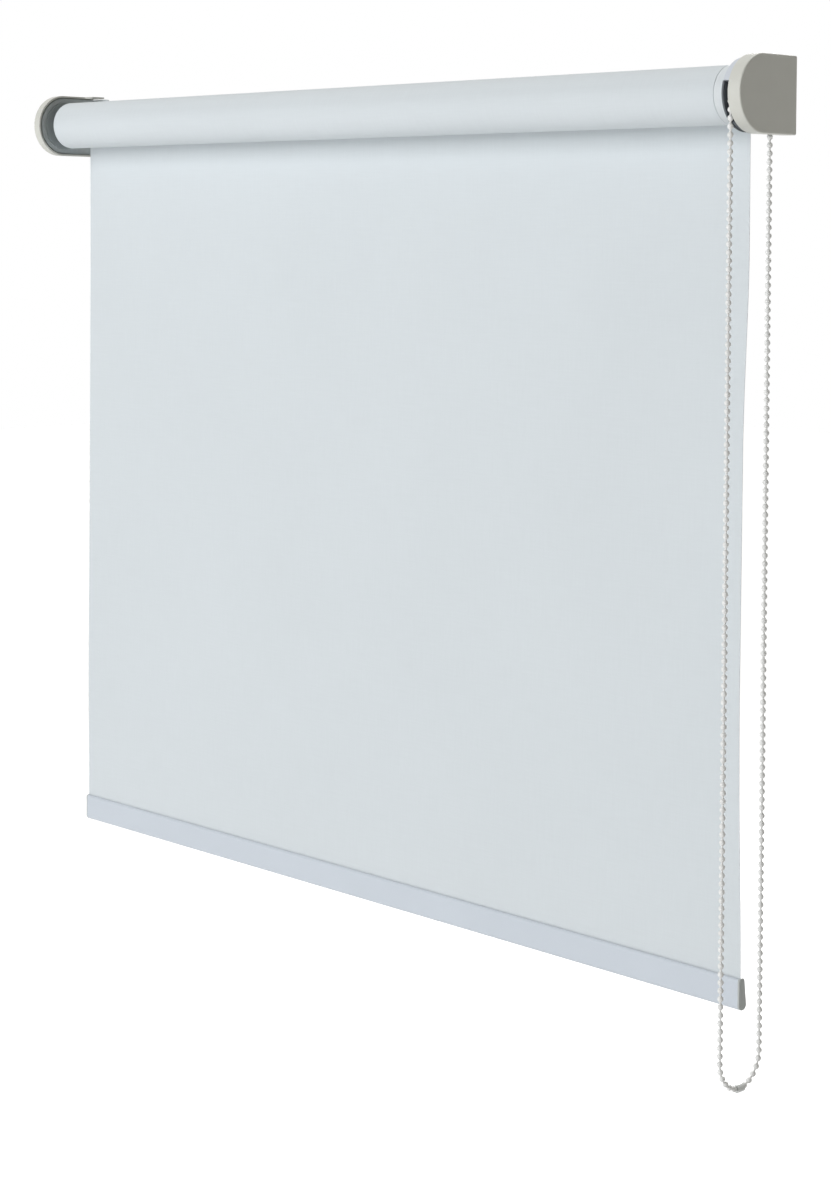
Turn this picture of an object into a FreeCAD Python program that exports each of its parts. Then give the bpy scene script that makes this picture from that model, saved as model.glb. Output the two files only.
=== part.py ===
import FreeCAD, Part
import math
import os
import Sketcher
from FreeCAD import Placement, Rotation, Vector

# Roller blind for an 800 mm wide piece of blackout cloth, hung on two wall brackets.
# Frame: X to the right seen from the room, Y into the wall, Z up, millimetres.
# Origin: on the wall, midway between the brackets, at the height of the roller's axis.
# The cloth leaves the back of the roll. The bead chain and its clutch are on the right.

SIZES = [
    # cloth
    ("fabric_width", 800, "width of the cloth"),
    ("fabric_thickness", 0.4, "thickness of the cloth"),
    ("fabric_drop_length", 651, "roller axis down to the top of the bottom bar"),
    ("sheet_clearance", 0.3, "hanging cloth to the back of the roll"),
    # roller
    ("axis_out", 36, "wall to the roller's axis"),
    ("tube_diameter", 38, "roller tube, outside"),
    ("tube_wall", 1.2, "roller tube wall"),
    ("tube_inset", 0.3, "cloth edge to the end of the tube"),
    ("key_width", 3, "rib along the inside of the tube"),
    ("key_height", 1.2, "height of that rib"),
    ("tape_thickness", 0.12, "adhesive tape that holds the cloth to the tube"),
    ("tape_room", 0.25, "tube to the inside of the wound cloth"),
    ("roll_build", 2.7, "tube to the outside of the wound cloth"),
    ("tape_width", 4, "width of that tape"),
    ("tape_inset", 10, "cloth edge to the end of the tape"),
    ("tube_fit", 0.05, "gap between the tube and the plugs in its ends"),
    ("running_fit", 0.08, "gap between a shaft and the bore that it turns in"),
    # drive hub
    ("hub_length", 28, "length of the hub inside the tube"),
    ("hub_flange_gap", 0.2, "cloth edge to the hub's flange"),
    ("hub_flange_width", 8, "width of the hub's flange"),
    ("hub_collar_radius", 16.5, "collar that carries the flange"),
    ("hub_flange_chamfer", 0.2, "chamfer on the flange's rims"),
    ("hub_recess_radius", 12, "recess for the retaining washer"),
    ("hub_recess_depth", 12.3, "depth of that recess"),
    ("dog_width", 4, "width of a driving dog on the wheel's sleeve"),
    ("dog_length", 1.6, "length of a driving dog"),
    ("dog_clearance", 0.2, "gap round a driving dog"),
    # clutch
    ("core_radius", 8, "fixed core that the hub and wheel turn on"),
    ("core_flange_radius", 16, "flange of the core"),
    ("core_length", 40, "inner end of the core to the bracket's side plate"),
    ("core_bore_radius", 2, "screw bore along the core"),
    ("screw_radius", 1.95, "shank of a clutch screw"),
    ("core_square", 10, "square boss that stops the core from turning"),
    ("square_clearance", 0.1, "gap round the square boss"),
    ("wrap_spring_wire", 1, "thickness of a wrap spring"),
    ("wrap_spring_fit", 0.05, "gap between a wrap spring and the core"),
    ("wrap_spring_length", 4.4, "length of a wrap spring"),
    ("wrap_spring_gap", 0.4, "gap between the two wrap springs"),
    ("sleeve_bore_radius", 9.25, "wheel's sleeve, inside"),
    ("sleeve_radius", 13, "wheel's sleeve, outside"),
    ("sleeve_reach", 10.5, "length of the sleeve beyond the wheel"),
    ("washer_radius", 10.5, "retaining washer"),
    ("washer_thickness", 1.5, "thickness of the retaining washer"),
    ("screw_head_radius", 4.2, "head of a clutch screw"),
    ("screw_head_height", 2.6, "height of that head"),
    ("screw_reach", 12, "length of a clutch screw in the core"),
    ("bolt_head_radius", 7.4, "head of the bolt that holds the core"),
    # chain and its wheel
    ("bead_diameter", 4.5, "chain bead"),
    ("bead_bore", 1.8, "hole through a bead"),
    ("bead_pitch", 6, "spacing of the beads"),
    ("cord_diameter", 1.5, "cord through the beads"),
    ("pocket_count", 24, "bead pockets round the wheel"),
    ("pocket_clearance", 0.15, "gap round a bead in its pocket"),
    ("wheel_width", 6, "width of the chain wheel"),
    ("wheel_side_gap", 0.5, "gap on each side of the chain wheel"),
    ("wheel_rim_drop", 0.2, "pitch circle down to the wheel's rim"),
    ("cord_groove_width", 2.2, "groove that clears the cord"),
    ("cord_groove_depth", 1, "pitch circle down to the bottom of the groove"),
    ("exit_drop", 27, "roller axis down to where the chain hangs free"),
    ("chain_drop", 723, "roller axis down to the bottom of the chain"),
    ("loop_bend_rise", 13.5, "bottom of the chain to the corners of its route above"),
    ("loop_foot_half", 9.5, "half of the level run at the bottom of the route"),
    ("connector_radius", 3, "chain connector, outside"),
    ("connector_wall", 0.6, "wall of the connector"),
    ("connector_length", 7, "length of the connector"),
    ("connector_lip", 0.9, "thickness of the connector's end lips"),
    ("connector_mouth", 1.3, "radius of the hole in a lip"),
    # clutch housing and chain guard
    ("housing_gap", 3.8, "hub flange to the housing's plate"),
    ("plate_thickness", 1.5, "plate of the housing"),
    ("plate_radius", 27.3, "outer radius of that plate"),
    ("plate_bore_radius", 14.2, "hole in the plate for the wheel's sleeve"),
    ("chain_clearance", 0.35, "beads to the inside of the guard"),
    ("guard_wall", 1.2, "wall of the guard and of the housing's web"),
    ("guard_front_angle", 19.6, "degrees above the horizontal where the guard ends in front"),
    ("housing_seam_angle", 1, "degrees between the guard and the housing's plate"),
    ("web_angle", 80, "degrees of the web below the wheel"),
    # brackets and covers
    ("bracket_thickness", 2, "steel of the brackets"),
    ("side_plate_radius", 26.4, "rounded front of a side plate"),
    ("side_plate_gap", 4, "chain wheel to the control bracket"),
    ("control_plate_width", 30, "wall plate of the control bracket"),
    ("idle_plate_width", 26, "wall plate of the idle bracket"),
    ("plate_corner", 3, "rounded corners of a wall plate"),
    ("hole_beyond_cloth", 6, "cloth edge to the screw holes"),
    ("hole_rise", 34, "screw holes, bottom to top"),
    ("hole_diameter", 4.8, "screw holes in the wall plates"),
    ("cover_height", 57.4, "height of a cover"),
    ("cover_depth", 67.7, "wall to the front of a cover"),
    ("cover_wall", 1.6, "skirt and face of a cover"),
    ("cover_edge", 1.2, "rounded edge of a cover's face"),
    ("cover_rear_round", 2.4, "rounding of that face where it meets the wall"),
    ("cover_rear_wall", 3.2, "thickened edge of a cover along the wall"),
    ("cover_rim_gap", 1, "chain wheel to the control cover's rim"),
    ("control_cover_width", 11, "width of the control cover"),
    ("idle_cover_width", 9, "width of the idle cover"),
    ("idle_side_gap", 9, "cloth edge to the idle cover's rim"),
    ("idle_boss_length", 2.4, "idle cover's face to its bracket"),
    ("cover_tab_reach", 12, "cover's rim to the end of its tab over the wall plate"),
    ("cover_tab_depth", 14, "wall to the front of that tab"),
    ("boss_radius", 3, "bosses inside a cover"),
    ("boss_out", 14, "wall to the bosses"),
    ("boss_rise", 16, "roller axis to a boss"),
    # idle end
    ("pin_radius", 5, "spring pin"),
    ("pin_tip_chamfer", 0.8, "chamfer at the pin's tip"),
    ("pin_end_gap", 0.4, "pin's tip to the idle bracket"),
    ("pin_collar_radius", 6.9, "collar on the pin"),
    ("pin_collar_width", 2, "width of the collar"),
    ("pin_tail", 12.7, "pin behind its collar"),
    ("pin_tail_radius", 4.9, "tail of the pin"),
    ("plug_length", 28, "length of the idle plug inside the tube"),
    ("plug_flange_width", 2, "flange of the idle plug"),
    ("plug_flange_gap", 0.2, "cloth edge to that flange"),
    ("plug_front_wall", 4, "wall that guides the pin"),
    ("plug_cavity_radius", 7.2, "spring chamber in the plug"),
    ("plug_cap_width", 2, "cap that closes the spring chamber"),
    ("plug_cap_bore", 5.3, "hole in that cap for the pin's tail"),
    ("collar_gap", 0.3, "collar to the wall in front of it"),
    ("pin_spring_inner", 5.3, "compression spring, inside radius"),
    ("pin_spring_outer", 6.7, "compression spring, outside radius"),
    ("pin_spring_gap", 0.2, "gap at each end of the spring"),
    ("socket_radius", 11, "socket for the pin"),
    ("socket_flange_radius", 22.5, "flange of the socket"),
    ("socket_flange_width", 2, "width of that flange"),
    ("socket_length", 7.8, "socket beyond the idle bracket"),
    ("socket_spigot_radius", 7, "spigot of the socket in the bracket"),
    # bottom bar
    ("bar_overhang", 1, "cloth edge to the outside of an end cap"),
    ("bar_height", 24, "height of the bar"),
    ("bar_top_thickness", 6.3, "bar at its top"),
    ("bar_foot_thickness", 9.2, "bar at its foot"),
    ("bar_front_offset", 2.7, "middle of the cloth to the bar's front"),
    ("bar_wall", 1, "wall of the bar"),
    ("bar_top_wall", 1.2, "lips beside the slot"),
    ("bar_slot_width", 2, "slot that the cloth goes into"),
    ("bar_channel_depth", 5.3, "channel for the spline"),
    ("bar_top_round", 2.4, "rounded top of the bar"),
    ("bar_foot_round", 4, "rounded foot of the bar"),
    ("bar_chamber_bevel", 2, "bevelled foot corners of the lower chamber"),
    ("cap_flange", 1.5, "flange of an end cap"),
    ("cap_edge", 0.4, "rounded edge of an end cap"),
    ("cap_plug_length", 12, "end cap inside the bar"),
    ("cap_plug_clearance", 0.15, "gap round that plug"),
    ("spline_radius", 1, "rod that holds the cloth in the bar"),
    ("spline_inset", 1, "end cap to the end of the rod and hem"),
    ("spline_drop", 3.9, "top of the bar to the middle of the rod"),
]

doc = FreeCAD.newDocument("RollerBlind")
sheet = doc.addObject("Spreadsheet::Sheet", "Sizes")
for row, (alias, value, meaning) in enumerate(SIZES, start=1):
    sheet.set(f"A{row}", alias)
    sheet.set(f"B{row}", str(value))
    sheet.set(f"C{row}", meaning)
    sheet.setAlias(f"B{row}", alias)
doc.recompute()


# Expressions worked out from the sheet

AXIS = "-Sizes.axis_out"
HALF_CLOTH = "Sizes.fabric_width / 2"
TUBE_RADIUS = "Sizes.tube_diameter / 2"
ROLL_RADIUS = f"({TUBE_RADIUS} + Sizes.roll_build)"
TUBE_BORE = "(Sizes.tube_diameter / 2 - Sizes.tube_wall)"
PLUG_RADIUS = f"({TUBE_BORE} - Sizes.tube_fit)"
TUBE_END = f"({HALF_CLOTH} - Sizes.tube_inset)"
ON_CORE = "(Sizes.core_radius + Sizes.running_fit)"
PITCH_RADIUS = "(Sizes.bead_pitch / (2 * sin(180 deg / Sizes.pocket_count)))"
GUARD_INNER = f"({PITCH_RADIUS} + Sizes.bead_diameter / 2 + Sizes.chain_clearance)"
GUARD_OUTER = f"({GUARD_INNER} + Sizes.guard_wall)"

# Stations along X at the control end, going outwards
FLANGE_IN = f"({HALF_CLOTH} + Sizes.hub_flange_gap)"
FLANGE_OUT = f"({FLANGE_IN} + Sizes.hub_flange_width)"
HUB_IN = f"({FLANGE_IN} - Sizes.hub_length)"
PLATE_IN = f"({FLANGE_OUT} + Sizes.housing_gap)"
PLATE_OUT = f"({PLATE_IN} + Sizes.plate_thickness)"
WHEEL_IN = f"({PLATE_OUT} + Sizes.wheel_side_gap)"
WHEEL_MID = f"({WHEEL_IN} + Sizes.wheel_width / 2)"
WHEEL_OUT = f"({WHEEL_IN} + Sizes.wheel_width)"
SLEEVE_IN = f"({WHEEL_IN} - Sizes.sleeve_reach)"
COVER_IN = f"({WHEEL_OUT} + Sizes.cover_rim_gap)"
COVER_OUT = f"({COVER_IN} + Sizes.control_cover_width)"
SIDE_IN = f"({WHEEL_OUT} + Sizes.side_plate_gap)"
SIDE_OUT = f"({SIDE_IN} + Sizes.bracket_thickness)"
CORE_IN = f"({SIDE_IN} - Sizes.core_length)"

# Stations along X at the idle end, going outwards
PLUG_FACE = f"(-{HALF_CLOTH} - Sizes.plug_flange_gap)"
IDLE_COVER_IN = f"(-{HALF_CLOTH} - Sizes.idle_side_gap)"
IDLE_COVER_OUT = f"({IDLE_COVER_IN} - Sizes.idle_cover_width)"
IDLE_SIDE_OUT = f"({IDLE_COVER_OUT} + Sizes.cover_wall + Sizes.idle_boss_length)"
IDLE_SIDE_IN = f"({IDLE_SIDE_OUT} + Sizes.bracket_thickness)"

# Hanging cloth and bottom bar
CLOTH_FRONT = f"({AXIS} + {ROLL_RADIUS} + Sizes.sheet_clearance)"
CLOTH_MID = f"({CLOTH_FRONT} + Sizes.fabric_thickness / 2)"
BAR_TOP = "(-Sizes.fabric_drop_length)"
BAR_FOOT = f"({BAR_TOP} - Sizes.bar_height)"
BAR_FRONT = f"({CLOTH_MID} - Sizes.bar_front_offset)"
BAR_END = f"({HALF_CLOTH} + Sizes.bar_overhang)"
RAIL_END = f"({BAR_END} - Sizes.cap_flange)"
CHAMBER_TOP = f"({BAR_TOP} - Sizes.bar_top_wall - Sizes.bar_channel_depth - Sizes.bar_wall)"
CHAMBER_FOOT = f"({BAR_FOOT} + Sizes.bar_wall)"

# Share of the shorter run next to a corner that the cord's arc takes up
ARC_SHARE = 0.45

# Two lengths or places that differ by less count as the same, in millimetres
SAME = 0.01

pieces = []


def number(expression):
    """Value of an expression, in millimetres or degrees."""
    result = sheet.evalExpression(str(expression))
    return float(getattr(result, "Value", result))


# Sketches and features

def new_body(label):
    """An empty body, kept in the list of pieces."""
    body = doc.addObject("PartDesign::Body", label)
    body.Label = label
    pieces.append(body)
    return body


def origin_feature(body, role):
    """One of the body's own origin planes or axes."""
    return next(item for item in body.Origin.OriginFeatures if item.Role == role)


def sketch_on(body, role, offset="0", tilt="0"):
    """A sketch on an origin plane, moved along its normal and tilted about its own X axis."""
    sketch = body.newObject("Sketcher::SketchObject", f"{body.Name}_sketch")
    sketch.AttachmentSupport = [(origin_feature(body, role), "")]
    sketch.MapMode = "FlatFace"
    sketch.AttachmentOffset = Placement(Vector(0, 0, 0), Rotation(Vector(1, 0, 0), number(tilt)))
    if tilt != "0":
        sketch.setExpression("AttachmentOffset.Rotation.Angle", tilt)
    if offset != "0":
        sketch.setExpression("AttachmentOffset.Base.z", offset)
    return sketch


def hold(sketch, kind, geometry, expression, point=1):
    """Holds a point of the geometry at a distance from the sketch's origin."""
    constraint = Sketcher.Constraint(kind, -1, 1, geometry, point, number(expression))
    index = sketch.addConstraint(constraint)
    sketch.setExpression(f"Constraints[{index}]", expression)


def polygon(sketch, corners):
    """A closed outline through corners, each a pair of expressions."""
    places = [Vector(number(across), number(up), 0) for across, up in corners]
    first = sketch.GeometryCount
    count = len(corners)
    for start, end in zip(places, places[1:] + places[:1]):
        sketch.addGeometry(Part.LineSegment(start, end), False)
    for step in range(count):
        following = first + (step + 1) % count
        sketch.addConstraint(Sketcher.Constraint("Coincident", first + step, 2, following, 1))
    for step, (across, up) in enumerate(corners):
        hold(sketch, "DistanceX", first + step, across)
        hold(sketch, "DistanceY", first + step, up)


def circle(sketch, across, up, radius):
    """A circle whose centre and radius are expressions."""
    centre = Vector(number(across), number(up), 0)
    index = sketch.addGeometry(Part.Circle(centre, Vector(0, 0, 1), number(radius)), False)
    hold(sketch, "DistanceX", index, across, 3)
    hold(sketch, "DistanceY", index, up, 3)
    size = sketch.addConstraint(Sketcher.Constraint("Radius", index, number(radius)))
    sketch.setExpression(f"Constraints[{size}]", radius)


def nose(sketch, radius, centre, back):
    """An outline with a half round front and straight sides back to the wall side."""
    size, middle, rear = number(radius), number(centre), number(back)
    arc = Part.ArcOfCircle(
        Vector(middle, size, 0),
        Vector(middle - size, 0, 0),
        Vector(middle, -size, 0),
    )
    front = sketch.addGeometry(arc, False)
    lower = sketch.addGeometry(Part.LineSegment(Vector(middle, -size, 0), Vector(rear, -size, 0)), False)
    wall = sketch.addGeometry(Part.LineSegment(Vector(rear, -size, 0), Vector(rear, size, 0)), False)
    upper = sketch.addGeometry(Part.LineSegment(Vector(rear, size, 0), Vector(middle, size, 0)), False)
    sketch.addConstraint(Sketcher.Constraint("Tangent", front, 2, lower, 1))
    sketch.addConstraint(Sketcher.Constraint("Coincident", lower, 2, wall, 1))
    sketch.addConstraint(Sketcher.Constraint("Coincident", wall, 2, upper, 1))
    sketch.addConstraint(Sketcher.Constraint("Tangent", upper, 2, front, 1))
    sketch.addConstraint(Sketcher.Constraint("Horizontal", lower))
    sketch.addConstraint(Sketcher.Constraint("Horizontal", upper))
    sketch.addConstraint(Sketcher.Constraint("PointOnObject", front, 3, -1))
    hold(sketch, "DistanceX", front, centre, 3)
    hold(sketch, "DistanceX", wall, back)
    sketch.addConstraint(Sketcher.Constraint("Vertical", wall))
    bend = sketch.addConstraint(Sketcher.Constraint("Radius", front, size))
    sketch.setExpression(f"Constraints[{bend}]", radius)


def revolve(body, corners, centre="0", sweep="360"):
    """Turns an outline of (x, radius) corners about X. Its middle lies centre degrees from the
    top towards the room."""
    sketch = sketch_on(body, "XZ_Plane", tilt=centre)
    polygon(sketch, corners)
    feature = body.newObject("PartDesign::Revolution", f"{body.Name}_turn")
    feature.Profile = sketch
    feature.ReferenceAxis = (sketch, ["H_Axis"])
    feature.Midplane = sweep != "360"
    feature.setExpression("Angle", sweep)
    doc.recompute()
    return feature


def turned(label, corners, centre="0", sweep="360"):
    """A piece turned about the roller's axis."""
    body = new_body(label)
    revolve(body, corners, centre, sweep)
    body.setExpression("Placement.Base.y", AXIS)
    return body


def pad(body, sketch, length, backwards=False):
    """Raises a sketch along its normal, or the other way."""
    feature = body.newObject("PartDesign::Pad", f"{body.Name}_pad")
    feature.Profile = sketch
    feature.Reversed = backwards
    feature.setExpression("Length", length)
    doc.recompute()
    return feature


def cut(body, sketch, length=None, forwards=False):
    """Cuts a sketch out of a body: all through, or over a length against or along its normal."""
    before = body.Shape.Volume
    feature = body.newObject("PartDesign::Pocket", f"{body.Name}_cut")
    feature.Profile = sketch
    if length is None:
        feature.Type = "ThroughAll"
        feature.Midplane = True
    else:
        feature.Reversed = forwards
        feature.setExpression("Length", length)
    doc.recompute()
    if body.Shape.Volume >= before:
        raise ValueError(f"{body.Label}: {feature.Name} cuts nothing")
    return feature


def round_edges(body, radius, chosen):
    """Rounds the edges of a body's tip that chosen accepts."""
    base = body.Tip
    edges = [f"Edge{n}" for n, edge in enumerate(base.Shape.Edges, start=1) if chosen(edge)]
    feature = body.newObject("PartDesign::Fillet", f"{body.Name}_round")
    feature.Base = (base, edges)
    feature.setExpression("Radius", radius)
    doc.recompute()
    return feature


def runs_along(edge, direction):
    """True for a straight edge parallel to direction."""
    if not isinstance(edge.Curve, Part.Line):
        return False
    return abs(edge.tangentAt(edge.FirstParameter).dot(direction)) > 0.999


def lies_at(edge, station):
    """True for an edge in the plane across X at station."""
    box = edge.BoundBox
    return max(abs(box.XMin - station), abs(box.XMax - station)) < SAME


def repeat(body, feature, count):
    """Repeats a feature round the body's X axis."""
    pattern = body.newObject("PartDesign::PolarPattern", f"{body.Name}_pattern")
    pattern.Originals = [feature]
    pattern.Axis = (origin_feature(body, "X_Axis"), [""])
    pattern.Angle = 360
    pattern.setExpression("Occurrences", count)
    body.Tip = pattern
    doc.recompute()
    return pattern


def box(label, sides):
    """A block from three (start, size) pairs, along X, Y and Z."""
    block = doc.addObject("Part::Box", label)
    for axis, size_name, (start, size) in zip("xyz", ["Length", "Width", "Height"], sides):
        block.setExpression(size_name, size)
        block.setExpression(f"Placement.Base.{axis}", start)
    return block


def box_piece(label, sides):
    """A piece that is a plain block."""
    pieces.append(box(label, sides))


# Brackets

def wall_bracket(label, side_in, side_out, plate_width, inward):
    """A bent steel bracket: a plate on the wall with two screw holes, and a side plate."""
    body = new_body(label)
    top = "Sizes.side_plate_radius"
    tip = f"({side_out} + ({inward}) * {plate_width})"
    wall = sketch_on(body, "XZ_Plane")
    corners = [(side_out, f"-{top}"), (tip, f"-{top}"), (tip, top), (side_out, top)]
    polygon(wall, corners if inward > 0 else corners[::-1])
    pad(body, wall, "Sizes.bracket_thickness")
    side = sketch_on(body, "YZ_Plane", offset=side_in if inward < 0 else side_out)
    nose(side, top, AXIS, "0")
    pad(body, side, "Sizes.bracket_thickness")
    tip_at = number(tip)
    round_edges(
        body,
        "Sizes.plate_corner",
        lambda edge: runs_along(edge, Vector(0, 1, 0)) and abs(edge.CenterOfMass.x - tip_at) < SAME,
    )
    holes = sketch_on(body, "XZ_Plane")
    for up in (1, -1):
        across = f"{-inward} * ({HALF_CLOTH} + Sizes.hole_beyond_cloth)"
        circle(holes, across, f"{up} * Sizes.hole_rise / 2", "Sizes.hole_diameter / 2")
    cut(body, holes)
    return body


def control_bracket():
    """Right bracket, with the square hole that holds the clutch core."""
    body = wall_bracket("control_bracket", SIDE_IN, SIDE_OUT, "Sizes.control_plate_width", -1)
    half = "(Sizes.core_square / 2 + Sizes.square_clearance)"
    hole = sketch_on(body, "YZ_Plane")
    low, high = f"({AXIS} - {half})", f"({AXIS} + {half})"
    polygon(hole, [(low, f"-{half}"), (high, f"-{half}"), (high, half), (low, half)])
    cut(body, hole)


def idle_bracket():
    """Left bracket, with the round hole for the pin's socket."""
    body = wall_bracket("idle_bracket", IDLE_SIDE_IN, IDLE_SIDE_OUT, "Sizes.idle_plate_width", 1)
    hole = sketch_on(body, "YZ_Plane")
    circle(hole, AXIS, "0", "Sizes.socket_spigot_radius + Sizes.tube_fit")
    cut(body, hole)


# Covers

def cover(label, rim, face, boss_foot, outward):
    """A shell open to the roller and to the wall, thicker along the wall, with two bosses that
    rest on the bracket and a tab that reaches over the wall plate."""
    body = new_body(label)
    centre = "-(Sizes.cover_depth - Sizes.cover_height / 2)"
    outline = sketch_on(body, "YZ_Plane", offset=rim)
    nose(outline, "Sizes.cover_height / 2", centre, "0")
    pad(body, outline, f"({outward}) * ({face} - {rim})", backwards=outward < 0)
    face_at = number(face)
    round_edges(
        body,
        "Sizes.cover_rear_round",
        lambda edge: lies_at(edge, face_at) and edge.CenterOfMass.y > -SAME,
    )
    round_edges(
        body,
        "Sizes.cover_edge",
        lambda edge: lies_at(edge, face_at) and edge.CenterOfMass.y < -SAME,
    )
    inside = "Sizes.cover_height / 2 - Sizes.cover_wall"
    for rear, left in [
        ("Sizes.cover_wall", "Sizes.cover_rear_wall"),
        ("-Sizes.cover_rear_wall", "Sizes.cover_wall"),
    ]:
        hollow = sketch_on(body, "YZ_Plane", offset=rim)
        nose(hollow, inside, centre, rear)
        cut(body, hollow, f"({outward}) * ({face} - {rim}) - {left}", forwards=outward > 0)
    bosses = sketch_on(body, "YZ_Plane", offset=boss_foot)
    for up in (1, -1):
        circle(bosses, "-Sizes.boss_out", f"{up} * Sizes.boss_rise", "Sizes.boss_radius")
    reach = f"({outward}) * ({face} - {boss_foot}) - Sizes.cover_wall / 2"
    pad(body, bosses, reach, backwards=outward < 0)
    top = "Sizes.cover_height / 2"
    under = f"({top} - Sizes.cover_wall)"
    front = "-Sizes.cover_tab_depth"
    tab = sketch_on(body, "YZ_Plane", offset=rim)
    polygon(tab, [(front, under), ("0", under), ("0", top), (front, top)])
    pad(body, tab, "Sizes.cover_tab_reach", backwards=outward > 0)


# Clutch, from the wall bracket inwards

def clutch_core():
    """The fixed shaft that carries the clutch, with a square root in the bracket."""
    flange_in = f"({WHEEL_OUT} + Sizes.wheel_side_gap)"
    body = turned("clutch_core", [
        (CORE_IN, "Sizes.core_bore_radius"),
        (SIDE_IN, "Sizes.core_bore_radius"),
        (SIDE_IN, "Sizes.core_flange_radius"),
        (flange_in, "Sizes.core_flange_radius"),
        (flange_in, "Sizes.core_radius"),
        (CORE_IN, "Sizes.core_radius"),
    ])
    half = "Sizes.core_square / 2"
    root = sketch_on(body, "YZ_Plane", offset=SIDE_IN)
    polygon(root, [(f"-{half}", f"-{half}"), (half, f"-{half}"), (half, half), (f"-{half}", half)])
    circle(root, "0", "0", "Sizes.core_bore_radius")
    pad(body, root, "Sizes.bracket_thickness")


def clutch_screws():
    """The bolt that holds the core to the bracket, and the screw and washer that hold the hub."""
    turned("core_bolt", [
        (f"{SIDE_OUT} - Sizes.screw_reach", "0"),
        (f"{SIDE_OUT} + Sizes.screw_head_height", "0"),
        (f"{SIDE_OUT} + Sizes.screw_head_height", "Sizes.bolt_head_radius"),
        (SIDE_OUT, "Sizes.bolt_head_radius"),
        (SIDE_OUT, "Sizes.screw_radius"),
        (f"{SIDE_OUT} - Sizes.screw_reach", "Sizes.screw_radius"),
    ])
    washer_in = f"({CORE_IN} - Sizes.washer_thickness)"
    turned("hub_washer", [
        (washer_in, "Sizes.core_bore_radius"),
        (CORE_IN, "Sizes.core_bore_radius"),
        (CORE_IN, "Sizes.washer_radius"),
        (washer_in, "Sizes.washer_radius"),
    ])
    turned("hub_screw", [
        (f"{washer_in} - Sizes.screw_head_height", "0"),
        (f"{CORE_IN} + Sizes.screw_reach", "0"),
        (f"{CORE_IN} + Sizes.screw_reach", "Sizes.screw_radius"),
        (washer_in, "Sizes.screw_radius"),
        (washer_in, "Sizes.screw_head_radius"),
        (f"{washer_in} - Sizes.screw_head_height", "Sizes.screw_head_radius"),
    ])


def wrap_springs():
    """Two closely wound springs that grip the core, each as the sleeve of its outer shape."""
    inner = "(Sizes.core_radius + Sizes.wrap_spring_fit)"
    outer = f"({inner} + Sizes.wrap_spring_wire)"
    step = "(Sizes.wrap_spring_length + Sizes.wrap_spring_gap)"
    for place, label in enumerate(["wrap_spring_inner", "wrap_spring_outer"]):
        start = f"({SLEEVE_IN} + Sizes.wrap_spring_gap + {place} * {step})"
        end = f"({start} + Sizes.wrap_spring_length)"
        turned(label, [(start, inner), (end, inner), (end, outer), (start, outer)])


def chain_wheel():
    """The wheel with its bead pockets, cord groove, sleeve and two driving dogs."""
    rim = f"({PITCH_RADIUS} - Sizes.wheel_rim_drop)"
    groove = f"({PITCH_RADIUS} - Sizes.cord_groove_depth)"
    groove_in = f"({WHEEL_MID} - Sizes.cord_groove_width / 2)"
    groove_out = f"({WHEEL_MID} + Sizes.cord_groove_width / 2)"
    body = turned("chain_wheel", [
        (SLEEVE_IN, "Sizes.sleeve_bore_radius"),
        (WHEEL_IN, "Sizes.sleeve_bore_radius"),
        (WHEEL_IN, ON_CORE),
        (WHEEL_OUT, ON_CORE),
        (WHEEL_OUT, rim),
        (groove_out, rim),
        (groove_out, groove),
        (groove_in, groove),
        (groove_in, rim),
        (WHEEL_IN, rim),
        (WHEEL_IN, "Sizes.sleeve_radius"),
        (SLEEVE_IN, "Sizes.sleeve_radius"),
    ])
    pocket = body.newObject("PartDesign::SubtractiveSphere", "bead_pocket")
    pocket.AttachmentSupport = [(origin_feature(body, "XZ_Plane"), "")]
    pocket.MapMode = "FlatFace"
    pocket.setExpression("AttachmentOffset.Base.x", WHEEL_MID)
    pocket.setExpression("AttachmentOffset.Base.y", PITCH_RADIUS)
    pocket.setExpression("Radius", "Sizes.bead_diameter / 2 + Sizes.pocket_clearance")
    doc.recompute()
    repeat(body, pocket, "Sizes.pocket_count")
    dog = sketch_on(body, "YZ_Plane", offset=f"{SLEEVE_IN} - Sizes.dog_length")
    polygon(dog, dog_outline("0"))
    repeat(body, pad(body, dog, "Sizes.dog_length + Sizes.wheel_side_gap"), "2")


def dog_outline(clearance):
    """Outline of a driving dog at the top of the sleeve, made larger by the clearance."""
    half = f"(Sizes.dog_width / 2 + {clearance})"
    low = f"(Sizes.sleeve_bore_radius + Sizes.dog_clearance - {clearance})"
    high = f"(Sizes.sleeve_radius - Sizes.dog_clearance + {clearance})"
    return [(f"-{half}", low), (half, low), (half, high), (f"-{half}", high)]


def clutch_housing():
    """The dark plate between the roll and the chain wheel, with a web below the wheel."""
    middle = "(180 - Sizes.guard_front_angle / 2)"
    body = turned("clutch_housing", [
        (PLATE_IN, "Sizes.plate_bore_radius"),
        (PLATE_OUT, "Sizes.plate_bore_radius"),
        (PLATE_OUT, "Sizes.plate_radius"),
        (PLATE_IN, "Sizes.plate_radius"),
    ], middle, "180 + Sizes.guard_front_angle - 2 * Sizes.housing_seam_angle")
    revolve(body, [
        (PLATE_IN, GUARD_INNER),
        (SIDE_IN, GUARD_INNER),
        (SIDE_IN, GUARD_OUTER),
        (PLATE_IN, GUARD_OUTER),
    ], "180", "Sizes.web_angle")


def chain_guard():
    """The cap over the chain wheel, from the step above the slot to the wall side."""
    middle = "(-Sizes.guard_front_angle / 2)"
    turned("chain_guard", [
        (PLATE_IN, "Sizes.plate_bore_radius"),
        (PLATE_OUT, "Sizes.plate_bore_radius"),
        (PLATE_OUT, GUARD_INNER),
        (SIDE_IN, GUARD_INNER),
        (SIDE_IN, GUARD_OUTER),
        (PLATE_IN, GUARD_OUTER),
    ], middle, "180 - Sizes.guard_front_angle")


# Roller

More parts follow.
